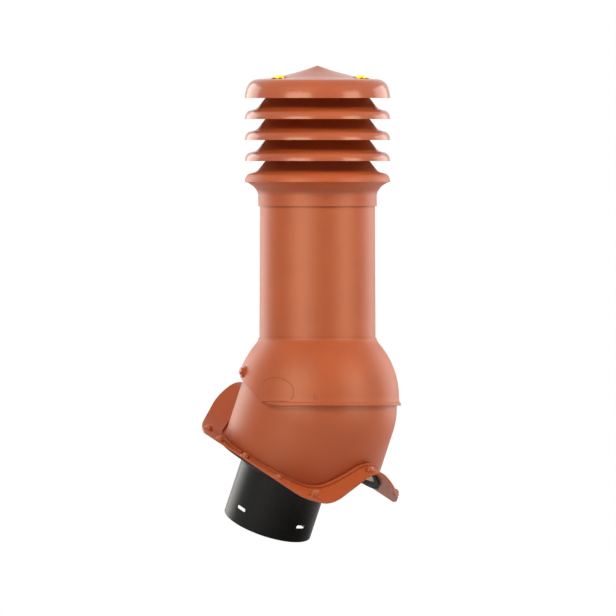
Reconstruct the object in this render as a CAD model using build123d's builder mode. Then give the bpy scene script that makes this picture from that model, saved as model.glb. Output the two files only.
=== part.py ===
import os
from math import asin, atan, cos, degrees, radians, sin, sqrt, tan

from build123d import *

os.makedirs("parts", exist_ok=True)

# Roof pitch the part is set to. +X runs downhill on the level, +Y across the slope, +Z up.
PITCH = radians(25.0)
SLOPE_DIR = Vector(cos(PITCH), 0, -sin(PITCH))
ROOF_NORMAL = Vector(sin(PITCH), 0, cos(PITCH))

# Wall of the terracotta mouldings and the gap left between pieces that only meet.
WALL = 3.0
GAP = 0.3

# Hood: its dome centre sits above the ball centre, and it runs over the ball with a small clearance.
HOOD_RISE = 14.3
HOOD_R = 113.4
HOOD_WALL = 2.6
HOOD_IN_R = HOOD_R - HOOD_WALL
BALL_FIT = 0.4
LIP_R = HOOD_R + 2.6
LIP_Z = -12.0

# Ball on the base: its centre lies on the skirt's axis, above the seat.
BALL_R = HOOD_IN_R - BALL_FIT
BALL_H = 84.0
BALL_IN_R = BALL_R - WALL
MOUTH_TILT = 2.5
MOUTH_HALF = 45.5

# Flange plan: a round downhill side with one squared corner, two flats and a blunter uphill side.
PLATE_R = 150.0
PLATE_C = -6.0
NEAR_Y = BALL_R + 12.6
FAR_Y = BALL_R + 14.6
FRONT_S = 139.0
REAR_S = 160.0
REAR_SIDE_S = 77.0
REAR_HALF_Y = 27.0
REAR_R = 300.0
CORNER_R = 14.0
BOSS_R = 6.5
HEAD_R = 4.4
HEAD_RISE = 2.4

# Wave across the flange: three straights and two arcs. Slopes run from the near side to the far side.
NEAR_SLOPE = atan(-0.19)
FLANK_SLOPE = atan(0.88)
FAR_SLOPE = atan(-0.66)
TROUGH_R = 45.0
TROUGH_AT = (-74.33, 48.97)
CREST_R = 33.5
CREST_AT = (8.63, 14.9)

# Duct pipe under the roof.
DUCT_R = 62.5
DUCT_IN_R = 60.0
DUCT_S = -21.0
DUCT_END = -103.7
DUCT_TOP = -22.0
LINER_R = BALL_IN_R - 0.4
LINER_IN_R = LINER_R - 2.2
LINER_LOW = 44.0
LINER_TOP = 60.0
SLOT_UP = 23.0
SEAL_R = BALL_R + 5.6

# Stack pipe, the lined duct in it and the head. Heights are above the hood's dome centre.
PIPE_R_LOW = 80.7
PIPE_TAPER = 0.9
PIPE_R_TOP = PIPE_R_LOW - PIPE_TAPER
PIPE_TOP = 282.8
SOCKET_R = PIPE_R_TOP + 0.25
FOOT_R = PIPE_R_LOW - 3.2
INNER_R = 62.5
INNER_IN_R = 60.5

# The hood's inner ledge clears the ball under it, and the pipe and the lined duct stand on it in turn.
LEDGE_R = PIPE_R_LOW - 4.7
LEDGE_LOW = round(sqrt(BALL_R ** 2 - LEDGE_R ** 2) - HOOD_RISE + 2.7, 1)
PIPE_LOW = LEDGE_LOW + 2.7
INNER_LOW = PIPE_LOW + 7.9

# Head: the rings reach out past the pipe, and the posts stand just outside the inner duct.
RING_REACH = 20.3
RING_R = PIPE_R_LOW + RING_REACH
RING_PITCH = 29.2
RING_WALL = 2.4
COLLAR_Z = PIPE_TOP + 15.9
INNER_TOP = COLLAR_Z + 19.3
CAP_Z = COLLAR_Z + 4 * RING_PITCH
POST_R = 3.3
POST_AT = INNER_R + POST_R + 0.2
POST_LOW = 14.0
POST_TURNS = (21.0, 141.0, 261.0)
SCREW_R = 2.0
SCREW_HOLE_R = 2.15

# Where the flange screws stand: downhill, across, height of the boss over the sheet.
FLANGE_SCREWS = [
    (-92.0, -99.0, 1.2),
    (-49.0, 6.0 - NEAR_Y, 1.2),
    (6.5, 5.0 - NEAR_Y, 1.2),
    (77.0, 6.0 - NEAR_Y, 1.2),
    (128.0, -92.0, 7.0),
    (129.0, 1.4, 1.5),
    (110.0, 86.0, 1.2),
    (52.0, FAR_Y - 11.0, 1.2),
    (-4.0, FAR_Y - 8.0, 1.2),
    (-60.0, FAR_Y - 13.0, 1.2),
    (-108.0, 84.0, 1.2),
]

BALL = ROOF_NORMAL * BALL_H
HOOD = BALL + Vector(0, 0, HOOD_RISE)
ROOF = Plane(origin=(0, 0, 0), x_dir=SLOPE_DIR, z_dir=ROOF_NORMAL)
ACROSS = Plane(origin=(0, 0, 0), x_dir=(0, 1, 0), z_dir=SLOPE_DIR)
SKIRT_SECTION = Plane(origin=(0, 0, 0), x_dir=SLOPE_DIR, z_dir=(0, -1, 0))
SECTION = Plane(origin=HOOD, x_dir=(1, 0, 0), z_dir=(0, -1, 0))
STACK_AXIS = Axis(HOOD, (0, 0, 1))


def trough_point(slope, drop):
    radius = TROUGH_R + drop
    return (TROUGH_AT[0] + radius * sin(slope), TROUGH_AT[1] - radius * cos(slope))


def crest_point(slope, drop):
    radius = CREST_R - drop
    return (CREST_AT[0] - radius * sin(slope), CREST_AT[1] + radius * cos(slope))


def wave_line(drop):
    # Corners of the wave moved square to itself by the given depth, with a middle point on each arc.
    first = trough_point(NEAR_SLOPE, drop)
    last = crest_point(FAR_SLOPE, drop)
    return [
        (first[0] - 75 * cos(NEAR_SLOPE), first[1] - 75 * sin(NEAR_SLOPE)),
        first,
        trough_point((NEAR_SLOPE + FLANK_SLOPE) / 2, drop),
        trough_point(FLANK_SLOPE, drop),
        crest_point(FLANK_SLOPE, drop),
        crest_point((FLANK_SLOPE + FAR_SLOPE) / 2, drop),
        last,
        (last[0] + 150 * cos(FAR_SLOPE), last[1] + 150 * sin(FAR_SLOPE)),
    ]


def wave(y):
    # Height of the flange's upper face over the seat plane, and its slope angle, across the roof.
    line = wave_line(0)
    if y < line[1][0]:
        return line[1][1] + tan(NEAR_SLOPE) * (y - line[1][0]), NEAR_SLOPE
    if y < line[3][0]:
        reach = y - TROUGH_AT[0]
        return TROUGH_AT[1] - sqrt(TROUGH_R ** 2 - reach ** 2), asin(reach / TROUGH_R)
    if y < line[4][0]:
        return line[4][1] + tan(FLANK_SLOPE) * (y - line[4][0]), FLANK_SLOPE
    if y < line[6][0]:
        reach = y - CREST_AT[0]
        return CREST_AT[1] + sqrt(CREST_R ** 2 - reach ** 2), -asin(reach / CREST_R)
    return line[6][1] + tan(FAR_SLOPE) * (y - line[6][0]), FAR_SLOPE


def draw_wave(points):
    Line(points[0], points[1])
    ThreePointArc(points[1], points[2], points[3])
    Line(points[3], points[4])
    ThreePointArc(points[4], points[5], points[6])
    Line(points[6], points[7])


def wave_layer(top, bottom):
    # A bent sheet between two depths under the wave, long enough to be cut to any outline.
    upper = wave_line(top)
    lower = wave_line(bottom)
    with BuildPart() as layer:
        with BuildSketch(ACROSS):
            with BuildLine():
                draw_wave(upper)
                Line(upper[-1], lower[-1])
                draw_wave(lower)
                Line(lower[0], upper[0])
            make_face()
        extrude(amount=190, both=True)
    return layer.part


def wave_over(drop):
    # Everything over the wave moved down by the given depth.
    lower = wave_line(drop)
    with BuildPart() as room:
        with BuildSketch(ACROSS):
            with BuildLine():
                draw_wave(lower)
                Line(lower[-1], (lower[-1][0], 260))
                Line((lower[-1][0], 260), (lower[0][0], 260))
                Line((lower[0][0], 260), lower[0])
            make_face()
        extrude(amount=190, both=True)
    return room.part


def inset(points, depth):
    # A polyline moved square to itself, to the right of its direction.
    moved = []
    for i, point in enumerate(points):
        before = points[max(i - 1, 0)]
        after = points[min(i + 1, len(points) - 1)]
        dx = after[0] - before[0]
        dz = after[1] - before[1]
        size = sqrt(dx * dx + dz * dz)
        moved.append((point[0] + depth * dz / size, point[1] - depth * dx / size))
    return moved


def turned(points):
    # A solid of revolution about the stack's axis from radius and height pairs.
    with BuildPart() as body:
        with BuildSketch(SECTION):
            with BuildLine():
                Polyline(*points, close=True)
            make_face()
        revolve(axis=STACK_AXIS)
    return body.part


def screw_spot(s, y, lift):
    # Place of a flange screw, square to the wave's face and lifted along that direction.
    height, slope = wave(y)
    return ROOF.location * Location((s, y, height), (degrees(slope), 0, 0)) * Location((0, 0, lift))


SHEET = wave_layer(0, WALL)

# The plan outline of the flange, as a tall block.
CORNER_S = sqrt(PLATE_R ** 2 - FAR_Y ** 2)
FRONT_Y = sqrt(PLATE_R ** 2 - (FRONT_S - PLATE_C) ** 2)
with BuildPart() as plate_block:
    with BuildSketch(ROOF.offset(-80)):
        with BuildLine():
            Line((-REAR_SIDE_S, -NEAR_Y), (FRONT_S - CORNER_R, -NEAR_Y))
            RadiusArc((FRONT_S - CORNER_R, -NEAR_Y), (FRONT_S, -NEAR_Y + CORNER_R), -CORNER_R)
            Line((FRONT_S, -NEAR_Y + CORNER_R), (FRONT_S, FRONT_Y))
            RadiusArc((FRONT_S, FRONT_Y), (PLATE_C + CORNER_S, FAR_Y), -PLATE_R)
            Line((PLATE_C + CORNER_S, FAR_Y), (-REAR_SIDE_S, FAR_Y))
            RadiusArc((-REAR_SIDE_S, FAR_Y), (-REAR_S, REAR_HALF_Y), -REAR_R)
            Line((-REAR_S, REAR_HALF_Y), (-REAR_S, -REAR_HALF_Y))
            RadiusArc((-REAR_S, -REAR_HALF_Y), (-REAR_SIDE_S, -NEAR_Y), -REAR_R)
        make_face()
        fillet([v for v in vertices() if v.X < -REAR_SIDE_S + 1 and abs(v.Y) > 100], CORNER_R)
        fillet([v for v in vertices() if v.X < -REAR_S + 1], 2 * REAR_HALF_Y)
    extrude(amount=200)

# Flange with its screw bosses, before the skirt stands on it.
with BuildPart() as flange:
    add(SHEET)
    add(plate_block.part, mode=Mode.INTERSECT)

with BuildPart() as bosses:
    for s, y, rise in FLANGE_SCREWS:
        with Locations(screw_spot(s, y, -WALL / 2)):
            Cylinder(BOSS_R, rise + WALL / 2, align=(Align.CENTER, Align.CENTER, Align.MIN))

# Raised line that runs round the foot of the skirt.
with BuildPart() as bead:
    with Locations(ROOF.location):
        Cylinder(BALL_R + 8.0, 400)
        Cylinder(BALL_R + 4.8, 400, mode=Mode.SUBTRACT)
    add(wave_layer(-3.6, 1.0), mode=Mode.INTERSECT)
    for s, y, rise in FLANGE_SCREWS:
        with Locations(screw_spot(s, y, -20)):
            Cylinder(BOSS_R + 2.0, 50, align=(Align.CENTER, Align.CENTER, Align.MIN), mode=Mode.SUBTRACT)


def skirt_solid(radius, low):
    # Skirt cylinder with the ball's upper half on it, as one turned solid.
    with BuildPart() as body:
        with BuildSketch(SKIRT_SECTION):
            with BuildLine():
                Line((0, low), (radius, low))
                Line((radius, low), (radius, BALL_H))
                RadiusArc((radius, BALL_H), (0, BALL_H + radius), -radius)
                Line((0, BALL_H + radius), (0, low))
            make_face()
        revolve(axis=Axis((0, 0, 0), ROOF_NORMAL))
    return body.part


# Base moulding: wavy flange, round skirt and the open ball on top of it.
with BuildPart() as base_shell:
    add(skirt_solid(BALL_R, -80))
    add(wave_over(WALL / 2), mode=Mode.INTERSECT)
    add(flange.part)
    add(bead.part)
    add(bosses.part)
    add(skirt_solid(BALL_IN_R, -90), mode=Mode.SUBTRACT)
    for s, y, rise in FLANGE_SCREWS:
        with Locations(screw_spot(s, y, -8)):
            Cylinder(2.6, 30, align=(Align.CENTER, Align.CENTER, Align.MIN), mode=Mode.SUBTRACT)
    with BuildPart(mode=Mode.PRIVATE) as ledge:
        with BuildSketch(SKIRT_SECTION):
            with BuildLine():
                Polyline(
                    (BALL_IN_R + 1.2, LINER_TOP + 0.2),
                    (LINER_IN_R, LINER_TOP + 0.2),
                    (LINER_IN_R, LINER_TOP + 2.0),
                    (BALL_IN_R + 1.2, LINER_TOP + 4.4),
                    close=True,
                )
            make_face()
        revolve(axis=Axis((0, 0, 0), ROOF_NORMAL))
    add(ledge.part)
    mouth_z = BALL_R * cos(radians(MOUTH_HALF))
    with Locations(Location(BALL) * Location((0, 0, 0), (0, MOUTH_TILT, 0)) * Location((0, 0, mouth_z))):
        Cylinder(100, 80, align=(Align.CENTER, Align.CENTER, Align.MIN), mode=Mode.SUBTRACT)
base_shell.part.label = "base_shell"
export_step(base_shell.part, "parts/base_shell.step")

# Foam strip that closes the flange on the tiles.
with BuildPart() as flange_seal:
    with Locations(ROOF.location):
        Cylinder(SEAL_R, 400)
        Cylinder(BALL_IN_R + 0.6, 400, mode=Mode.SUBTRACT)
    add(wave_layer(WALL + 0.1, WALL + 4.1), mode=Mode.INTERSECT)
    for s, y, rise in FLANGE_SCREWS:
        if sqrt(s * s + y * y) < SEAL_R + 4.0:
            with Locations(screw_spot(s, y, -12)):
                Cylinder(4.0, 20, align=(Align.CENTER, Align.CENTER, Align.MIN), mode=Mode.SUBTRACT)
flange_seal.part.label = "flange_seal"
export_step(flange_seal.part, "parts/flange_seal.step")

# Black duct pipe with the funnel that gathers the skirt down to it.
with BuildPart() as duct_spigot:
    with Locations(ROOF.location * Location((DUCT_S, 0, DUCT_END))):
        Cylinder(DUCT_R, DUCT_TOP - DUCT_END, align=(Align.CENTER, Align.CENTER, Align.MIN))
    with BuildSketch(ROOF.offset(DUCT_TOP)):
        with Locations((DUCT_S, 0)):
            Circle(DUCT_R)
    with BuildSketch(ROOF.offset(LINER_LOW)):
        Circle(LINER_R)
    loft(ruled=True)
    with Locations(ROOF.location * Location((0, 0, LINER_LOW))):
        Cylinder(LINER_R, LINER_TOP - LINER_LOW, align=(Align.CENTER, Align.CENTER, Align.MIN))
    with Locations(ROOF.location * Location((DUCT_S, 0, DUCT_END - 1))):
        Cylinder(DUCT_IN_R, 160, align=(Align.CENTER, Align.CENTER, Align.MIN), mode=Mode.SUBTRACT)
    with BuildSketch(ROOF.offset(DUCT_TOP + 1)):
        with Locations((DUCT_S, 0)):
            Circle(DUCT_IN_R)
    with BuildSketch(ROOF.offset(LINER_LOW + 2)):
        Circle(LINER_IN_R)
    loft(ruled=True, mode=Mode.SUBTRACT)
    with Locations(ROOF.location * Location((0, 0, LINER_LOW + 2))):
        Cylinder(LINER_IN_R, 90, align=(Align.CENTER, Align.CENTER, Align.MIN), mode=Mode.SUBTRACT)
    for turn in (0, 90, 180, 270):
        spot = ROOF.location * Location((DUCT_S, 0, DUCT_END + SLOT_UP), (0, 0, turn))
        with BuildSketch(Plane(spot * Location((0, 0, 0), (90, 0, 90)))):
            SlotOverall(18.0, 5.5, rotation=90)
        extrude(amount=90, mode=Mode.SUBTRACT)
duct_spigot.part.label = "duct_spigot"
export_step(duct_spigot.part, "parts/duct_spigot.step")

# Screws with a domed head on a washer face that hold the flange.
with BuildPart() as screw_form:
    with BuildSketch(Plane.XZ):
        with BuildLine():
            Line((0, 0.3 - WALL), (2.4, 0.3 - WALL))
            Line((2.4, 0.3 - WALL), (2.4, 0))
            Line((2.4, 0), (6.0, 0))
            Line((6.0, 0), (5.6, 1.0))
            Line((5.6, 1.0), (HEAD_R, 1.4))
            Line((HEAD_R, 1.4), (HEAD_R, 2.6))
            RadiusArc((HEAD_R, 2.6), (0, 2.6 + HEAD_RISE), -(HEAD_R ** 2 + HEAD_RISE ** 2) / (2 * HEAD_RISE))
            Line((0, 2.6 + HEAD_RISE), (0, 0.3 - WALL))
        make_face()
    revolve(axis=Axis.Z)
for number, (s, y, rise) in enumerate(FLANGE_SCREWS, start=1):
    with BuildPart() as flange_screw:
        with Locations(screw_spot(s, y, rise)):
            add(screw_form.part)
    flange_screw.part.label = f"flange_screw_{number}"
    export_step(flange_screw.part, f"parts/flange_screw_{number}.step")

# Hood outline in radius and height, and the same drawn in by the depth of the side covers.
NECK_R = PIPE_R_LOW + 1.5
NECK_TOP = PIPE_LOW + 11.3
DOME_TOP_R = NECK_R + 5.8
CUP_R = PIPE_R_LOW + 2.7
FACE_TOP_R = 70.0


with BuildPart() as hood_outer:
    with BuildSketch(SECTION):
        with BuildLine():
            dome_top = sqrt(HOOD_R ** 2 - DOME_TOP_R ** 2)
            mid = HOOD_R * sin(radians(70))
            Line((0, NECK_TOP), (NECK_R, NECK_TOP))
            Line((NECK_R, NECK_TOP), (NECK_R, NECK_TOP - 1.7))
            Bezier((NECK_R, NECK_TOP - 1.7), (NECK_R + 0.4, NECK_TOP - 4.9), (DOME_TOP_R, dome_top))
            ThreePointArc((DOME_TOP_R, dome_top), (mid, sqrt(HOOD_R ** 2 - mid ** 2)), (HOOD_R, 0))
            Spline((HOOD_R, 0), (HOOD_R + 0.3, -4.0), (HOOD_R + 0.9, -7.2), tangents=((0, -1), (0.25, -1)))
            Line((HOOD_R + 0.9, -7.2), (LIP_R - 0.6, -7.9))
            Line((LIP_R - 0.6, -7.9), (LIP_R, -8.9))
            Line((LIP_R, -8.9), (LIP_R, LIP_Z))
            Line((LIP_R, LIP_Z), (0, LIP_Z))
            Line((0, LIP_Z), (0, NECK_TOP))
        make_face()
    revolve(axis=STACK_AXIS)

with BuildPart() as hood_inner:
    with BuildSketch(SECTION):
        with BuildLine():
            cup_top = sqrt(HOOD_IN_R ** 2 - CUP_R ** 2)
            mid = HOOD_IN_R * sin(radians(70))
            Line((0, LIP_Z), (HOOD_IN_R + 1.4, LIP_Z))
            Line((HOOD_IN_R + 1.4, LIP_Z), (HOOD_IN_R, LIP_Z + 1.6))
            Line((HOOD_IN_R, LIP_Z + 1.6), (HOOD_IN_R, 0))
            ThreePointArc((HOOD_IN_R, 0), (mid, sqrt(HOOD_IN_R ** 2 - mid ** 2)), (CUP_R, cup_top))
            Line((CUP_R, cup_top), (CUP_R, LEDGE_LOW))
            Line((CUP_R, LEDGE_LOW), (LEDGE_R, LEDGE_LOW))
            Line((LEDGE_R, LEDGE_LOW), (LEDGE_R, PIPE_LOW - 0.2))
            Line((LEDGE_R, PIPE_LOW - 0.2), (PIPE_R_LOW + 0.25, PIPE_LOW - 0.2))
            Line((PIPE_R_LOW + 0.25, PIPE_LOW - 0.2), (PIPE_R_LOW + 0.25, NECK_TOP))
            Line((PIPE_R_LOW + 0.25, NECK_TOP), (0, NECK_TOP))
            Line((0, NECK_TOP), (0, LIP_Z))
        make_face()
    revolve(axis=STACK_AXIS)

# Layer just under the hood's face that the side covers are let into.
COVER_T = 1.3
with BuildPart() as hood_face:
    add(hood_outer.part)
    with BuildSketch(SECTION):
        with BuildLine():
            mid = (HOOD_R - COVER_T) * sin(radians(70))
            low_r = HOOD_R - COVER_T
            face_top = sqrt(low_r ** 2 - FACE_TOP_R ** 2)
            Line((0, -30), (low_r + 0.6, -30))
            Line((low_r + 0.6, -30), (low_r + 0.6, -5.0))
            Line((low_r + 0.6, -5.0), (low_r, 0))
            ThreePointArc((low_r, 0), (mid, sqrt(low_r ** 2 - mid ** 2)), (FACE_TOP_R, face_top))
            Line((FACE_TOP_R, face_top), (FACE_TOP_R, HOOD_R))
            Line((FACE_TOP_R, HOOD_R), (0, HOOD_R))
            Line((0, HOOD_R), (0, -30))
        make_face()
    revolve(axis=STACK_AXIS, mode=Mode.SUBTRACT)


def cover_prism(grow, side):
    # Oval the side covers are cut to, standing square to the hood's side.
    with BuildPart() as prism:
        with BuildSketch(Plane(origin=HOOD, x_dir=(1, 0, 0), z_dir=(0, -1, 0))):
            with Locations((25.0, 6.5)):
                Ellipse(28.0 + grow, 20.0 + grow)
            with Locations((25.0, -16.0 - grow)):
                Rectangle(80, 20, mode=Mode.SUBTRACT)
        extrude(amount=(HOOD_R + 20) * side)
    return prism.part


# Rear-rising line that the hood's lip is cut to, as distance downhill and height from the dome centre.
LIP_LINE = [
    (44.0, -12.0),
    (30.0, -11.2),
    (18.0, -9.0),
    (8.0, -5.6),
    (-2.0, -0.6),
    (-15.0, 7.4),
    (-30.0, 15.0),
    (-60.0, 28.6),
    (-102.0, 48.2),
    (-140.0, 65.9),
]
LOCK_DIR = Vector(-48.0, -96.0, 35.0).normalized()
with BuildPart() as hood:
    add(hood_outer.part)
    add(hood_inner.part, mode=Mode.SUBTRACT)
    for side in (1, -1):
        aim = Vector(LOCK_DIR.X, LOCK_DIR.Y * side, LOCK_DIR.Z)
        with BuildSketch(Plane(origin=HOOD + aim * (HOOD_R - 2.2), z_dir=aim)):
            Circle(8.4)
        extrude(amount=4.0)
    with BuildSketch(SECTION):
        with BuildLine():
            Spline(*LIP_LINE, tangents=((-1, 0), (-0.906, 0.4226)))
            Line(LIP_LINE[-1], (-140, -40))
            Line((-140, -40), (44, -40))
            Line((44, -40), LIP_LINE[0])
        make_face()
    extrude(amount=150, both=True, mode=Mode.SUBTRACT)
    for side in (1, -1):
        with BuildPart(mode=Mode.PRIVATE) as recess:
            add(hood_face.part)
            add(cover_prism(0.3, side), mode=Mode.INTERSECT)
        add(recess.part, mode=Mode.SUBTRACT)
    for side in (1, -1):
        aim = Vector(LOCK_DIR.X, LOCK_DIR.Y * side, LOCK_DIR.Z)
        with BuildSketch(Plane(origin=HOOD + aim * (HOOD_R - 13.4), z_dir=aim)):
            Circle(2.65)
        extrude(amount=30, mode=Mode.SUBTRACT)
hood.part.label = "hood"
export_step(hood.part, "parts/hood.step")

# Oval covers let into the hood's two sides.
for name, side in (("side_cover_near", 1), ("side_cover_far", -1)):
    with BuildPart() as side_cover:
        add(hood_face.part)
        add(cover_prism(0.0, side), mode=Mode.INTERSECT)
        with Locations(Location(HOOD)):
            Sphere(HOOD_R - COVER_T + 0.12, mode=Mode.SUBTRACT)
    side_cover.part.label = name
    export_step(side_cover.part, f"parts/{name}.step")

# Locking screws at the hood's rear corners. Their tips stop short of the ball.
for name, side in (("lock_screw_near", 1), ("lock_screw_far", -1)):
    aim = Vector(LOCK_DIR.X, LOCK_DIR.Y * side, LOCK_DIR.Z)
    seat = HOOD + aim * (HOOD_R + 1.8)
    with BuildPart() as lock_screw:
        with BuildSketch(Plane(origin=seat, z_dir=aim)):
            Circle(6.8)
        extrude(amount=1.2)
        with BuildSketch(Plane(origin=seat + aim * 1.0, z_dir=aim)):
            Circle(4.8)
        extrude(amount=3.0)
        with BuildSketch(Plane(origin=seat - aim * 8.4, z_dir=aim)):
            Circle(2.5)
        extrude(amount=9.0)
    lock_screw.part.label = name
    export_step(lock_screw.part, f"parts/{name}.step")

# Stack pipe with the inner ledge that carries the lined duct.
with BuildPart() as stack_pipe:
    add(turned([
        (PIPE_R_LOW, PIPE_LOW),
        (PIPE_R_TOP, PIPE_TOP),
        (PIPE_R_TOP - 2.4, PIPE_TOP),
        (PIPE_R_LOW - 2.7, INNER_LOW - 0.1),
        (LEDGE_R - 0.5, INNER_LOW - 0.1),
        (LEDGE_R - 0.5, INNER_LOW - 2.6),
        (PIPE_R_LOW - 2.6, INNER_LOW - 2.6),
        (PIPE_R_LOW - 2.6, PIPE_LOW),
    ]))
stack_pipe.part.label = "stack_pipe"
export_step(stack_pipe.part, "parts/stack_pipe.step")

# Inner duct, standing on the ledge by its foot flange.
with BuildPart() as inner_duct:
    add(turned([
        (INNER_IN_R, INNER_LOW),
        (FOOT_R, INNER_LOW),
        (FOOT_R, INNER_LOW + 2.0),
        (INNER_R, INNER_LOW + 2.0),
        (INNER_R, INNER_TOP),
        (INNER_IN_R, INNER_TOP),
    ]))
inner_duct.part.label = "inner_duct"
export_step(inner_duct.part, "parts/inner_duct.step")

# Foam sleeve between the inner duct and the pipe.
with BuildPart() as insulation_sleeve:
    add(turned([
        (INNER_R + GAP, INNER_LOW + 2.0 + GAP),
        (FOOT_R - 0.4, INNER_LOW + 2.0 + GAP),
        (PIPE_R_TOP - 2.9, PIPE_TOP - 2.0),
        (INNER_R + GAP, PIPE_TOP - 2.0),
    ]))
insulation_sleeve.part.label = "insulation_sleeve"
export_step(insulation_sleeve.part, "parts/insulation_sleeve.step")

# Cross-section of one louvre ring, as radius and height over the ring's lower edge.
RING_OUT = [(0, 0), (0, 2.4), (0.8, 5.6), (2.6, 8.9), (4.8, 11.0), (7.4, 12.0), (14.0, 13.6), (17.4, 15.6)]
RING_OUT = [(RING_R - reach, z) for reach, z in RING_OUT + [(19.8, 18.4), (28.8, 29.6)]]
RING_IN = [(30.6, 28.0), (21.8, 17.1), (18.9, 13.7), (15.0, 11.3), (8.2, 9.6), (6.2, 9.0), (4.6, 7.6), (3.2, 4.9)]
RING_IN = [(RING_R - reach, z) for reach, z in RING_IN + [(RING_WALL, 2.0), (RING_WALL, 0)]]


def add_posts(low, high, web=0.0):
    # Three posts inside the rings' necks for the long screws, each with a web out to the cone.
    for turn in POST_TURNS:
        spot = Location(HOOD) * Location((0, 0, low), (0, 0, turn)) * Location((POST_AT, 0, 0))
        with Locations(spot):
            Cylinder(POST_R, high - low, align=(Align.CENTER, Align.CENTER, Align.MIN))
            if web:
                Box(RING_R - 23.0 - POST_AT, 3.0, web, align=(Align.MIN, Align.CENTER, Align.MIN))


def bore_posts(low, high):
    for turn in POST_TURNS:
        spot = Location(HOOD) * Location((0, 0, low), (0, 0, turn)) * Location((POST_AT, 0, 0))
        with Locations(spot):
            Cylinder(SCREW_HOLE_R, high - low, align=(Align.CENTER, Align.CENTER, Align.MIN), mode=Mode.SUBTRACT)


# Collar on the stack pipe, with the lowest ring of the head moulded on it.
with BuildPart() as head_collar:
    add(turned(
        [(SOCKET_R, PIPE_TOP - 17.7), (SOCKET_R + 2.35, PIPE_TOP - 17.7), (SOCKET_R + 2.35, PIPE_TOP - 2.0)]
        + [(SOCKET_R + 3.35, PIPE_TOP + 2.2), (SOCKET_R + 5.95, PIPE_TOP + 6.3), (SOCKET_R + 9.15, PIPE_TOP + 10.2)]
        + [(RING_R - 5.0, COLLAR_Z - 1.2), (RING_R - 2.0, COLLAR_Z)]
        + [(r, COLLAR_Z + z) for r, z in RING_OUT]
        + [(r, COLLAR_Z + z) for r, z in RING_IN[:-1]]
        + [(RING_R - RING_WALL, COLLAR_Z + 2.3), (RING_R - 6.0, COLLAR_Z + 1.1), (SOCKET_R + 7.35, COLLAR_Z - 3.7)]
        + [(SOCKET_R + 4.35, PIPE_TOP + 8.6), (SOCKET_R + 1.35, PIPE_TOP + 4.2), (SOCKET_R + 0.25, PIPE_TOP + 2.6)]
        + [(INNER_R + 1.1, PIPE_TOP + 2.6), (INNER_R + 1.1, PIPE_TOP + 0.2), (SOCKET_R, PIPE_TOP + 0.2)]
    ))
    add_posts(PIPE_TOP + 1.2, COLLAR_Z + POST_LOW + RING_PITCH)
    bore_posts(COLLAR_Z + 5.3, COLLAR_Z + POST_LOW + RING_PITCH + 1)
head_collar.part.label = "head_collar"
export_step(head_collar.part, "parts/head_collar.step")

# Louvre rings, each standing on the posts of the one below.
for number in (1, 2, 3):
    base_z = COLLAR_Z + number * RING_PITCH
    with BuildPart() as louvre:
        add(turned([(r, base_z + z) for r, z in RING_OUT] + [(r, base_z + z) for r, z in RING_IN]))
        add_posts(base_z + POST_LOW, base_z + POST_LOW + RING_PITCH, 6.5)
        bore_posts(base_z + POST_LOW - 1, base_z + POST_LOW + RING_PITCH + 1)
    louvre.part.label = f"louvre_{number}"
    export_step(louvre.part, f"parts/louvre_{number}.step")

# Cap with its shallow cone, rounded shoulder and pads for the screws.
CAP_CONE = [(0, 45.1), (6.3, 43.1), (13.0, 40.7), (24.3, 37.1), (38.0, 33.4), (52.0, 30.1), (66.0, 27.7)]
CAP_SHOULDER = [(24.0, 26.7), (17.0, 26.1), (12.4, 25.1), (8.6, 22.9), (5.6, 19.9), (3.2, 15.9), (1.5, 10.9), (0.4, 5.9)]
CAP_OUT = [(r * POST_AT / 66.0, CAP_Z + z) for r, z in CAP_CONE]
CAP_OUT += [(RING_R - reach, CAP_Z + z) for reach, z in CAP_SHOULDER + [(0, 2.4), (0, 0)]]
CAP_IN = inset(CAP_OUT, RING_WALL)
PAD_TOP = CAP_Z + 27.9
SEAT_R = 12.0
with BuildPart() as cap:
    with BuildSketch(SECTION):
        with BuildLine():
            Spline(*CAP_OUT[:-1])
            Line(CAP_OUT[-2], CAP_OUT[-1])
            Line(CAP_OUT[-1], (RING_R - RING_WALL, CAP_Z))
            Line((RING_R - RING_WALL, CAP_Z), CAP_IN[-3])
            Spline(*reversed([(0, CAP_OUT[0][1] - RING_WALL)] + CAP_IN[1:-2]))
            Line((0, CAP_OUT[0][1] - RING_WALL), CAP_OUT[0])
        make_face()
    revolve(axis=STACK_AXIS)
    with BuildPart(mode=Mode.PRIVATE) as pads:
        for turn in POST_TURNS:
            spot = Location(HOOD) * Location((0, 0, CAP_Z + 25.1), (0, 0, turn)) * Location((POST_AT, 0, 0))
            with Locations(spot):
                Cylinder(SEAT_R, PAD_TOP - CAP_Z - 25.1, align=(Align.CENTER, Align.CENTER, Align.MIN))
    add(pads.part)
    for turn in POST_TURNS:
        spot = Location(HOOD) * Location((0, 0, PAD_TOP), (0, 0, turn)) * Location((POST_AT, 0, 0))
        with Locations(spot):
            Cylinder(SEAT_R, 20, align=(Align.CENTER, Align.CENTER, Align.MIN), mode=Mode.SUBTRACT)
    add_posts(CAP_Z + POST_LOW, CAP_Z + 26.1)
    bore_posts(CAP_Z, CAP_Z + 44.5)
cap.part.label = "cap"
export_step(cap.part, "parts/cap.step")

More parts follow.
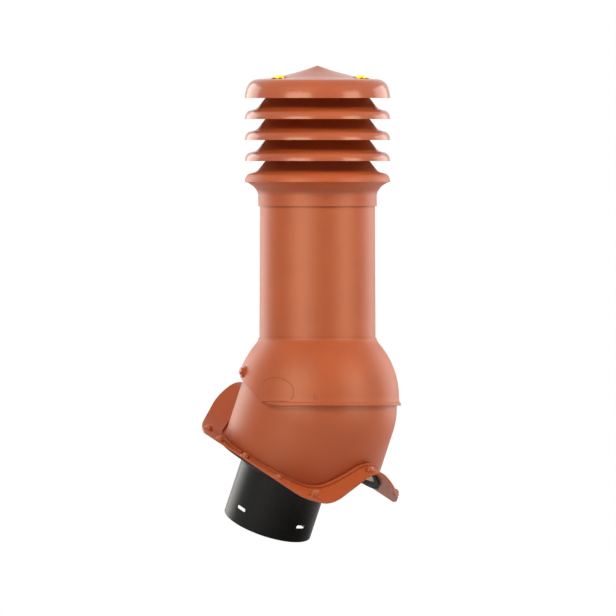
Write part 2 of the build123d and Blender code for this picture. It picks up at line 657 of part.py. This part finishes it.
# Long screws with broad washers that draw the head together.
for number, turn in enumerate(POST_TURNS, start=1):
    spot = Location(HOOD) * Location((0, 0, 0), (0, 0, turn)) * Location((POST_AT, 0, 0))
    with BuildPart() as cap_screw:
        with Locations(spot * Location((0, 0, PAD_TOP))):
            Cylinder(11.0, 1.3, align=(Align.CENTER, Align.CENTER, Align.MIN))
        with BuildSketch(Plane(spot * Location((0, 0, PAD_TOP + 1.0)))):
            RegularPolygon(5.0, 6)
        extrude(amount=2.6)
        with Locations(spot * Location((0, 0, COLLAR_Z + 16.3))):
            Cylinder(SCREW_R, PAD_TOP + 0.6 - COLLAR_Z - 16.3, align=(Align.CENTER, Align.CENTER, Align.MIN))
    cap_screw.part.label = f"cap_screw_{number}"
    export_step(cap_screw.part, f"parts/cap_screw_{number}.step")
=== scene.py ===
import math

import bmesh
import bpy
from bpy.props import FloatProperty, PointerProperty, StringProperty
from mathutils import Matrix, Vector


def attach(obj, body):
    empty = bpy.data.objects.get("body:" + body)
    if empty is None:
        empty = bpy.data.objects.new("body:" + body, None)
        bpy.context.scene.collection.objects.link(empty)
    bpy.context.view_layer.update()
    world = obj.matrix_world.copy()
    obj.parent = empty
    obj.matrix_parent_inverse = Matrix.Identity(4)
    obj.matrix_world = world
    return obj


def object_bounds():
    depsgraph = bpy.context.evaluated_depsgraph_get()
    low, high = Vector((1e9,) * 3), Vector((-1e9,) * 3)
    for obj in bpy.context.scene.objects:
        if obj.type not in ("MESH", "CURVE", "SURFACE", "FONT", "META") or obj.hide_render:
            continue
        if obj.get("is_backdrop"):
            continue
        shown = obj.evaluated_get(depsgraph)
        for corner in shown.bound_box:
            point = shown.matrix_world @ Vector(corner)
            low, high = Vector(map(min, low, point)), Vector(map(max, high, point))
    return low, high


bl_info = {
    "name": "Tilting Roof Vent",
    "version": (1, 0, 0),
    "blender": (4, 5, 0),
    "location": "View3D > Sidebar > Roof Vent",
    "description": "Dresses the roof vent, its screws and its studio",
    "category": "Object",
}

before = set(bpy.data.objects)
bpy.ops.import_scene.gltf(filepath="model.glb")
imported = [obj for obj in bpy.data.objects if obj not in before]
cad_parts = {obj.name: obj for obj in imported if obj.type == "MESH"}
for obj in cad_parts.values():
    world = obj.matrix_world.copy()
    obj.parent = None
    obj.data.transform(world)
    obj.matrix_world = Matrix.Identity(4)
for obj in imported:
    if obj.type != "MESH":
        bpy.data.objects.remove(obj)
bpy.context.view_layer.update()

# Places taken from the part, in metres. The hood's dome centre is the stack's reference point.
PITCH = math.radians(25.0)
ROOF_NORMAL = Vector((math.sin(PITCH), 0.0, math.cos(PITCH)))
BALL_RISE = 0.084
HOOD_RISE = 0.0143
BALL = ROOF_NORMAL * BALL_RISE
HOOD = BALL + Vector((0.0, 0.0, HOOD_RISE))
HOOD_R = 0.1134

TERRACOTTA_NODES = [
    "base_shell", "hood", "side_cover_near", "side_cover_far", "lock_screw_near", "lock_screw_far",
    "stack_pipe", "head_collar", "louvre_1", "louvre_2", "louvre_3", "cap",
]
BLACK_NODES = ["duct_spigot", "inner_duct"]

# Facets closer than this are one vertex, and edges sharper than this stay crisp.
WELD_GAP = 0.000004
SHARP_NODE = math.radians(26.0)
SHARP_PIECE = math.radians(30.0)

# Each terracotta finish: roughness and specular level.
SATIN = (0.44, 0.34)
GLOSS = (0.2, 0.5)
PAINT = (0.2, 0.42)
MARK = (0.5, 0.42)
PAINT_GRAIN_MM = 1.4
CLOUD_MM = 71.4
EDGE_SOFT = 0.0007
DRAW_LINE_MM = 2.38
SEAL_CELL_MM = 1.2
INSULATION_CELL_MM = 0.9
ZINC_FILM_MM = 6.25

# The marks on the hood's near side: distance aside, height over the dome centre and length.
MARKS = ((-0.0045, 0.0004, 0.0070), (-0.0007, -0.0014, 0.0055))
MARK_WIDTH = 0.0013
MARK_DEPTH = 0.0012
MARK_SUNK = 0.0002
MARK_ROUNDING = 0.0002

# The camera stands level, beside the slope's line, and looks past the hood's dome centre.
VIEW_TURN = math.radians(45.0)
AIM_LEFT = 0.0132
AIM_UP = 0.1237
CAMERA_AWAY = 2.5

FLOOR_R = 3.0
FLOOR_GAP = 0.004
FLOOR_SPECK_MM = 16.7

# Lights. Angles are in degrees from the camera's side, sizes in metres and power in watts.
BOX_AIM_Z = 0.22
KEY_AWAY = 1.8
KEY_RISE = 43.0
KEY_HEIGHT = 0.45
KEY_BOXES = (("Key box left", -28.0, 1.7, 19.5), ("Key box right", 58.0, 1.5, 16.6))
RIM_AWAY = 1.7
RIM_SIZE = (1.2, 1.6)
RIM_COLOUR = (1.0, 0.96, 0.88)
RIM_BOXES = (("Rim box left", -130.0, 8.0, 20.0), ("Rim box right", 124.0, 4.0, 18.0))
STRIP_AWAY = 1.1
STRIP_FOOT = -0.12
STRIP_TOP = 0.95
STRIP_POWER = 16.4
STRIP_COLOUR = (1.0, 0.95, 0.70)
STRIPS = (("Gleam strip left", -30.0, 39.0), ("Gleam strip right", 55.0, 28.0))


class RoofVentFinish(bpy.types.PropertyGroup):
    """Colours and surface sizes of the vent's materials"""

    terracotta: StringProperty(
        name="Terracotta", description="Colour of the moulded plastic, as sRGB hex", default="B05228"
    )
    # The marks' colour is painted shade: a darker terracotta that stands in for the shade in the hood's moulded
    # indents.
    mark: StringProperty(
        name="Mark", description="Colour of the small marks on the hood, as sRGB hex", default="8E4325"
    )
    grain_mm: FloatProperty(
        name="Mould grain", description="Spacing of the spark-eroded grain, in millimetres", default=0.9, min=0.2
    )
    black: StringProperty(
        name="Duct black", description="Colour of the duct pipe, as sRGB hex", default="161617"
    )
    zinc: StringProperty(
        name="Yellow zinc", description="Colour of the plated cap screws, as sRGB hex", default="D2BC3C"
    )


class RoofVentStage(bpy.types.PropertyGroup):
    """Sizes and levels of the studio"""

    photo_width: FloatProperty(
        name="View width", description="Width that the level camera takes in", default=0.856, subtype="DISTANCE"
    )
    key_level: FloatProperty(
        name="Key boxes", description="Power of the two front light boxes", default=1.0, min=0.0
    )
    rim_level: FloatProperty(
        name="Rim boxes", description="Power of the two rear light boxes", default=1.0, min=0.0
    )
    gleam_level: FloatProperty(
        name="Gleam strips", description="Brightness of the two strips", default=1.0, min=0.0
    )
    ambient: FloatProperty(name="Ambient", description="Level of the even light", default=0.18, min=0.0)


def linear(code):
    # sRGB hex to the linear colour that a shader's socket takes.
    out = []
    for i in (0, 2, 4):
        c = int(code[i:i + 2], 16) / 255.0
        out.append(c / 12.92 if c <= 0.04045 else ((c + 0.055) / 1.055) ** 2.4)
    return (*out, 1.0)


def grey(value):
    return (value, value, value, 1.0)


def shade(code, factor):
    # The same hue, lighter or darker in linear light.
    r, g, b, a = linear(code)
    return (min(r * factor, 1.0), min(g * factor, 1.0), min(b * factor, 1.0), a)


def node(tree, kind, links=None, stops=None, **settings):
    # Adds one node, sets its properties or sockets and a colour ramp's stops, and links its inputs.
    made = tree.nodes.new(kind)
    for key, value in settings.items():
        if hasattr(made, key):
            setattr(made, key, value)
        else:
            made.inputs[key.replace("_", " ")].default_value = value
    if stops:
        elements = made.color_ramp.elements
        elements[0].position, elements[0].color = stops[0]
        elements[1].position, elements[1].color = stops[-1]
        for place, colour in stops[1:-1]:
            elements.new(place).color = colour
    for key, source in (links or {}).items():
        tree.links.new(source, made.inputs[key])
    return made


def new_material(name):
    # A material with its shader linked to the output, and the piece's own coordinates.
    material = bpy.data.materials.new(name)
    material.use_nodes = True
    tree = material.node_tree
    tree.nodes.clear()
    shader = node(tree, "ShaderNodeBsdfPrincipled")
    node(tree, "ShaderNodeOutputMaterial", {"Surface": shader.outputs["BSDF"]})
    coords = node(tree, "ShaderNodeTexCoord")
    return material, tree, shader, coords.outputs["Object"]


def terracotta_material(name, code, grain_mm, finish):
    # Moulded, through-coloured plastic with a fine satin grain: soft broad highlights and a faint cloudiness.
    rough, gleam = finish
    material, tree, shader, place = new_material(name)
    cloud = node(tree, "ShaderNodeTexNoise", {"Vector": place}, Scale=1000.0 / CLOUD_MM, Detail=3.0, Roughness=0.5)
    tint = node(
        tree, "ShaderNodeValToRGB", {"Fac": cloud.outputs["Fac"]},
        stops=[(0.3, shade(code, 0.93)), (0.7, shade(code, 1.07))],
    )
    tree.links.new(tint.outputs["Color"], shader.inputs["Base Color"])
    # Grain spacing in millimetres as cycles per metre, drawn about as coarse as the picture can show.
    grain = node(tree, "ShaderNodeTexNoise", {"Vector": place}, Scale=1000.0 / grain_mm, Detail=2.0, Roughness=0.6)
    gloss = node(
        tree, "ShaderNodeValToRGB", {"Fac": grain.outputs["Fac"]},
        stops=[(0.3, grey(rough - 0.05)), (0.7, grey(rough + 0.07))],
    )
    tree.links.new(gloss.outputs["Color"], shader.inputs["Roughness"])
    # Moulded edges are softened by under a millimetre, so they catch the light.
    soft = node(tree, "ShaderNodeBevel", samples=6, Radius=EDGE_SOFT)
    bump = node(
        tree, "ShaderNodeBump", {"Height": grain.outputs["Fac"], "Normal": soft.outputs["Normal"]},
        Strength=0.12, Distance=0.00025,
    )
    tree.links.new(bump.outputs["Normal"], shader.inputs["Normal"])
    shader.inputs["IOR"].default_value = 1.5
    shader.inputs["Specular IOR Level"].default_value = gleam
    return material


def black_pipe_material(name, code):
    # Extruded black pipe: smooth satin with faint draw lines along its length.
    material, tree, shader, place = new_material(name)
    turned = node(
        tree, "ShaderNodeMapping", {"Vector": place}, Rotation=(0.0, -PITCH, 0.0), Scale=(1.0, 1.0, 0.04)
    )
    lines = node(
        tree, "ShaderNodeTexNoise", {"Vector": turned.outputs["Vector"]}, Scale=1000.0 / DRAW_LINE_MM, Detail=2.0
    )
    tint = node(
        tree, "ShaderNodeValToRGB", {"Fac": lines.outputs["Fac"]},
        stops=[(0.3, shade(code, 0.85)), (0.7, shade(code, 1.2))],
    )
    tree.links.new(tint.outputs["Color"], shader.inputs["Base Color"])
    gloss = node(
        tree, "ShaderNodeValToRGB", {"Fac": lines.outputs["Fac"]}, stops=[(0.3, grey(0.33)), (0.7, grey(0.42))]
    )
    tree.links.new(gloss.outputs["Color"], shader.inputs["Roughness"])
    bump = node(tree, "ShaderNodeBump", {"Height": lines.outputs["Fac"]}, Strength=0.08, Distance=0.0002)
    tree.links.new(bump.outputs["Normal"], shader.inputs["Normal"])
    shader.inputs["IOR"].default_value = 1.49
    shader.inputs["Specular IOR Level"].default_value = 0.2
    return material


def foam_material(name, code, cell_mm):
    # Closed-cell foam: small pits, painted darker as painted shade, and no shine.
    material, tree, shader, place = new_material(name)
    cells = node(tree, "ShaderNodeTexVoronoi", {"Vector": place}, Scale=1000.0 / cell_mm)
    # Painted shade: the colour is darker at the bottom of each pit and follows the same field as the bump.
    tint = node(
        tree, "ShaderNodeValToRGB", {"Fac": cells.outputs["Distance"]},
        stops=[(0.1, shade(code, 0.7)), (0.6, shade(code, 1.15))],
    )
    tree.links.new(tint.outputs["Color"], shader.inputs["Base Color"])
    bump = node(tree, "ShaderNodeBump", {"Height": cells.outputs["Distance"]}, Strength=0.5, Distance=0.0004)
    tree.links.new(bump.outputs["Normal"], shader.inputs["Normal"])
    shader.inputs["Roughness"].default_value = 0.9
    return material


def zinc_material(name, code):
    # Yellow-passivated zinc on steel: metallic, with a film that varies a little in hue and gloss.
    material, tree, shader, place = new_material(name)
    film = node(tree, "ShaderNodeTexNoise", {"Vector": place}, Scale=1000.0 / ZINC_FILM_MM, Detail=2.0)
    tint = node(
        tree, "ShaderNodeValToRGB", {"Fac": film.outputs["Fac"]},
        stops=[(0.3, shade(code, 0.8)), (0.55, linear(code)), (0.75, linear("C9C06A"))],
    )
    tree.links.new(tint.outputs["Color"], shader.inputs["Base Color"])
    gloss = node(
        tree, "ShaderNodeValToRGB", {"Fac": film.outputs["Fac"]}, stops=[(0.3, grey(0.28)), (0.7, grey(0.42))]
    )
    tree.links.new(gloss.outputs["Color"], shader.inputs["Roughness"])
    shader.inputs["Metallic"].default_value = 1.0
    return material


def dress(obj, material):
    # Smooth shading on a carried-over solid: its loose facets are welded and split again at real edges.
    obj.data.materials.clear()
    obj.data.materials.append(material)
    for face in obj.data.polygons:
        face.material_index = 0
        face.use_smooth = True
    if obj.data.has_custom_normals:
        with bpy.context.temp_override(object=obj, active_object=obj, selected_objects=[obj]):
            bpy.ops.mesh.customdata_custom_splitnormals_clear()
    weld = obj.modifiers.new("Weld facets", "WELD")
    weld.merge_threshold = WELD_GAP
    edges = obj.modifiers.new("Sharp edges", "EDGE_SPLIT")
    edges.split_angle = SHARP_NODE


def finish_piece(name, bm, place, body, material):
    # Turns a bmesh into a piece at the origin, riding on a body.
    bmesh.ops.transform(bm, matrix=place, verts=bm.verts)
    bmesh.ops.recalc_face_normals(bm, faces=bm.faces)
    mesh = bpy.data.meshes.new(name)
    bm.to_mesh(mesh)
    bm.free()
    piece = bpy.data.objects.new(name, mesh)
    bpy.context.scene.collection.objects.link(piece)
    mesh.materials.append(material)
    for face in mesh.polygons:
        face.use_smooth = True
    edges = piece.modifiers.new("Sharp edges", "EDGE_SPLIT")
    edges.split_angle = SHARP_PIECE
    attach(piece, body)
    return piece


class ROOFVENT_OT_mouldings(bpy.types.Operator):
    """Gives the terracotta mouldings their plastic, glossier on the rings and the cap"""

    bl_idname = "roofvent.mouldings"
    bl_label = "Terracotta mouldings"

    def execute(self, context):
        look = context.scene.roofvent_finish
        satin = terracotta_material("Moulded plastic terracotta satin", look.terracotta, look.grain_mm, SATIN)
        gloss = terracotta_material("Moulded plastic terracotta gloss", look.terracotta, look.grain_mm, GLOSS)
        for name in TERRACOTTA_NODES:
            dress(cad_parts[name], gloss if name.startswith(("louvre_", "cap")) else satin)
        return {"FINISHED"}


class ROOFVENT_OT_duct_parts(bpy.types.Operator):
    """Gives the black pipes, the seal and the insulation their finishes"""

    bl_idname = "roofvent.duct_parts"
    bl_label = "Duct, seal and insulation"

    def execute(self, context):
        look = context.scene.roofvent_finish
        black = black_pipe_material("Extruded plastic black", look.black)
        for name in BLACK_NODES:
            dress(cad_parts[name], black)
        seal = foam_material("Closed-cell foam black", "161616", SEAL_CELL_MM)
        dress(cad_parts["flange_seal"], seal)
        insulation = foam_material("Rigid foam pale", "E2DAB8", INSULATION_CELL_MM)
        dress(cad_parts["insulation_sleeve"], insulation)
        return {"FINISHED"}


class ROOFVENT_OT_fasteners(bpy.types.Operator):
    """Gives the flange screws and the cap screws their finishes"""

    bl_idname = "roofvent.fasteners"
    bl_label = "Screws"

    def execute(self, context):
        look = context.scene.roofvent_finish
        paint = terracotta_material("Painted screw terracotta", look.terracotta, PAINT_GRAIN_MM, PAINT)
        zinc = zinc_material("Zinc plate yellow", look.zinc)
        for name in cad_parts:
            if name.startswith("flange_screw_"):
                dress(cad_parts[name], paint)
            elif name.startswith("cap_screw_"):
                dress(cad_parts[name], zinc)
        return {"FINISHED"}


class ROOFVENT_OT_level_marks(bpy.types.Operator):
    """Adds the two small upright marks over the hood's rim, in a darker terracotta that paints the shade of
    moulded indents
    """

    bl_idname = "roofvent.level_marks"
    bl_label = "Level marks"

    def execute(self, context):
        look = context.scene.roofvent_finish
        # The marks are proud bars. Their darker colour is painted shade of moulded indents.
        material = terracotta_material("Moulded mark terracotta", look.mark, look.grain_mm, MARK)
        for number, (aside, up, length) in enumerate(MARKS, start=1):
            turn = VIEW_TURN + math.asin(aside / HOOD_R)
            out = Vector((math.sin(turn), -math.cos(turn), 0.0))
            bm = bmesh.new()
            bmesh.ops.create_cube(bm, size=1.0)
            size = Matrix.Diagonal((MARK_WIDTH, MARK_DEPTH, length, 1.0))
            bmesh.ops.transform(bm, matrix=size, verts=bm.verts)
            bmesh.ops.bevel(
                bm, geom=bm.edges[:], offset=MARK_ROUNDING, offset_type="OFFSET", segments=2, profile=0.5,
                affect="EDGES", material=-1,
            )
            spot = HOOD + out * (HOOD_R - MARK_SUNK) + Vector((0.0, 0.0, up))
            place = Matrix.Translation(spot) @ Matrix.Rotation(turn, 4, "Z")
            finish_piece(f"level_mark_{number}", bm, place, "stack", material)
        return {"FINISHED"}


def area_light(name, size, power, place, away):
    # A flat lamp at a place, turned to shine against the direction it lies away in.
    lamp = bpy.data.lights.new(name, "AREA")
    lamp.shape = "RECTANGLE"
    lamp.size, lamp.size_y = size
    lamp.energy = power
    obj = bpy.data.objects.new(name, lamp)
    obj.location = place
    obj.rotation_mode = "QUATERNION"
    obj.rotation_quaternion = (-away).to_track_quat("-Z", "Y")
    bpy.context.scene.collection.objects.link(obj)
    return obj


def light_box(name, angle, rise, distance, size, power):
    # A soft box aimed at the stack. Angle and rise are seen from the stack, the angle from the camera's side.
    turn = VIEW_TURN + math.radians(angle)
    rise = math.radians(rise)
    away = Vector((math.sin(turn) * math.cos(rise), -math.cos(turn) * math.cos(rise), math.sin(rise)))
    target = Vector((HOOD.x, 0.0, BOX_AIM_Z))
    return area_light(name, size, power, target + away * distance, away)


def gleam_strip(name, angle, span, level):
    # An upright strip standing on the floor that only shows as a reflection. Its span is the angle it fills.
    width = 2.0 * STRIP_AWAY * math.tan(math.radians(span / 2))
    height = STRIP_TOP - STRIP_FOOT
    turn = VIEW_TURN + math.radians(angle)
    away = Vector((math.sin(turn), -math.cos(turn), 0.0))
    middle = Vector((HOOD.x, 0.0, (STRIP_TOP + STRIP_FOOT) / 2))
    power = STRIP_POWER * width * height * level
    strip = area_light(name, (width, height), power, middle + away * STRIP_AWAY, away)
    strip.data.color = STRIP_COLOUR
    strip.visible_diffuse = False
    return strip


def white_floor(low_z):
    # A matt white disc under the vent, which takes its shadow.
    bm = bmesh.new()
    bmesh.ops.create_circle(bm, cap_ends=True, segments=96, radius=FLOOR_R)
    bmesh.ops.transform(bm, matrix=Matrix.Translation((HOOD.x, 0.0, low_z - FLOOR_GAP)), verts=bm.verts)
    mesh = bpy.data.meshes.new("floor")
    bm.to_mesh(mesh)
    bm.free()
    floor = bpy.data.objects.new("floor", mesh)
    bpy.context.scene.collection.objects.link(floor)
    material, tree, shader, place = new_material("Matt white floor")
    speck = node(tree, "ShaderNodeTexNoise", {"Vector": place}, Scale=1000.0 / FLOOR_SPECK_MM, Detail=2.0)
    tint = node(
        tree, "ShaderNodeValToRGB", {"Fac": speck.outputs["Fac"]},
        stops=[(0.3, linear("EFEFEF")), (0.7, linear("F3F3F3"))],
    )
    tree.links.new(tint.outputs["Color"], shader.inputs["Base Color"])
    shader.inputs["Roughness"].default_value = 0.9
    shader.inputs["Specular IOR Level"].default_value = 0.1
    mesh.materials.append(material)
    floor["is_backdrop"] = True


def white_surround(ambient):
    # White to the camera and to reflections, and an even light at its own level on everything else.
    world = bpy.data.worlds.new("White surround")
    bpy.context.scene.world = world
    world.use_nodes = True
    tree = world.node_tree
    tree.nodes.clear()
    path = node(tree, "ShaderNodeLightPath").outputs
    seen = node(
        tree, "ShaderNodeMath", {0: path["Is Camera Ray"], 1: path["Is Glossy Ray"]}, operation="MAXIMUM"
    )
    seen = node(
        tree, "ShaderNodeMath", {0: seen.outputs[0], 1: path["Is Transmission Ray"]}, operation="MAXIMUM"
    )
    even = node(tree, "ShaderNodeBackground", Color=grey(1.0), Strength=ambient)
    white = node(tree, "ShaderNodeBackground", Color=grey(1.0), Strength=1.0)
    pick = node(tree, "ShaderNodeMixShader", {0: seen.outputs[0], 1: even.outputs[0], 2: white.outputs[0]})
    node(tree, "ShaderNodeOutputWorld", {"Surface": pick.outputs[0]})


def level_camera(width):
    # A parallel view of a given width, level with the vent.
    data = bpy.data.cameras.new("Level camera")
    data.type = "ORTHO"
    data.ortho_scale = width
    camera = bpy.data.objects.new("Level camera", data)
    right = Vector((math.cos(VIEW_TURN), math.sin(VIEW_TURN), 0.0))
    back = Vector((math.sin(VIEW_TURN), -math.cos(VIEW_TURN), 0.0))
    aim = HOOD - right * AIM_LEFT + Vector((0.0, 0.0, AIM_UP))
    camera.location = aim + back * CAMERA_AWAY
    camera.rotation_mode = "QUATERNION"
    camera.rotation_quaternion = (-back).to_track_quat("-Z", "Y")
    bpy.context.scene.collection.objects.link(camera)
    return camera


class ROOFVENT_OT_studio(bpy.types.Operator):
    """Builds the pale floor, the lights, the white surround and the level camera"""

    bl_idname = "roofvent.studio"
    bl_label = "Studio"

    def execute(self, context):
        stage = context.scene.roofvent_stage
        white_floor(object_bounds()[0].z)
        white_surround(stage.ambient)
        for name, angle, width, power in KEY_BOXES:
            box = light_box(name, angle, KEY_RISE, KEY_AWAY, (width, KEY_HEIGHT), power * stage.key_level)
            box.visible_glossy = False
        for name, angle, span in STRIPS:
            gleam_strip(name, angle, span, stage.gleam_level)
        for name, angle, rise, power in RIM_BOXES:
            box = light_box(name, angle, rise, RIM_AWAY, RIM_SIZE, power * stage.rim_level)
            box.data.color = RIM_COLOUR
        context.scene.camera = level_camera(stage.photo_width)
        context.scene.view_settings.view_transform = "Standard"
        return {"FINISHED"}


class ROOFVENT_PT_panel(bpy.types.Panel):
    """Lists the vent's makers and settings"""

    bl_idname = "ROOFVENT_PT_panel"
    bl_label = "Roof Vent"
    bl_space_type = "VIEW_3D"
    bl_region_type = "UI"
    bl_category = "Roof Vent"

    def draw(self, context):
        layout = self.layout
        look = context.scene.roofvent_finish
        for name in ("terracotta", "mark", "grain_mm", "black", "zinc"):
            layout.prop(look, name)
        stage = context.scene.roofvent_stage
        for name in ("photo_width", "key_level", "rim_level", "gleam_level", "ambient"):
            layout.prop(stage, name)
        for maker in MAKERS:
            layout.operator(maker.bl_idname)


MAKERS = (
    ROOFVENT_OT_mouldings,
    ROOFVENT_OT_duct_parts,
    ROOFVENT_OT_fasteners,
    ROOFVENT_OT_level_marks,
    ROOFVENT_OT_studio,
)
CLASSES = (RoofVentFinish, RoofVentStage) + MAKERS + (ROOFVENT_PT_panel,)


def register():
    for cls in CLASSES:
        bpy.utils.register_class(cls)
    bpy.types.Scene.roofvent_finish = PointerProperty(type=RoofVentFinish)
    bpy.types.Scene.roofvent_stage = PointerProperty(type=RoofVentStage)


def unregister():
    del bpy.types.Scene.roofvent_stage
    del bpy.types.Scene.roofvent_finish
    for cls in reversed(CLASSES):
        bpy.utils.unregister_class(cls)


def main():
    register()
    for name in ("mouldings", "duct_parts", "fasteners", "level_marks", "studio"):
        getattr(bpy.ops.roofvent, name)()


if __name__ == "__main__":
    main()
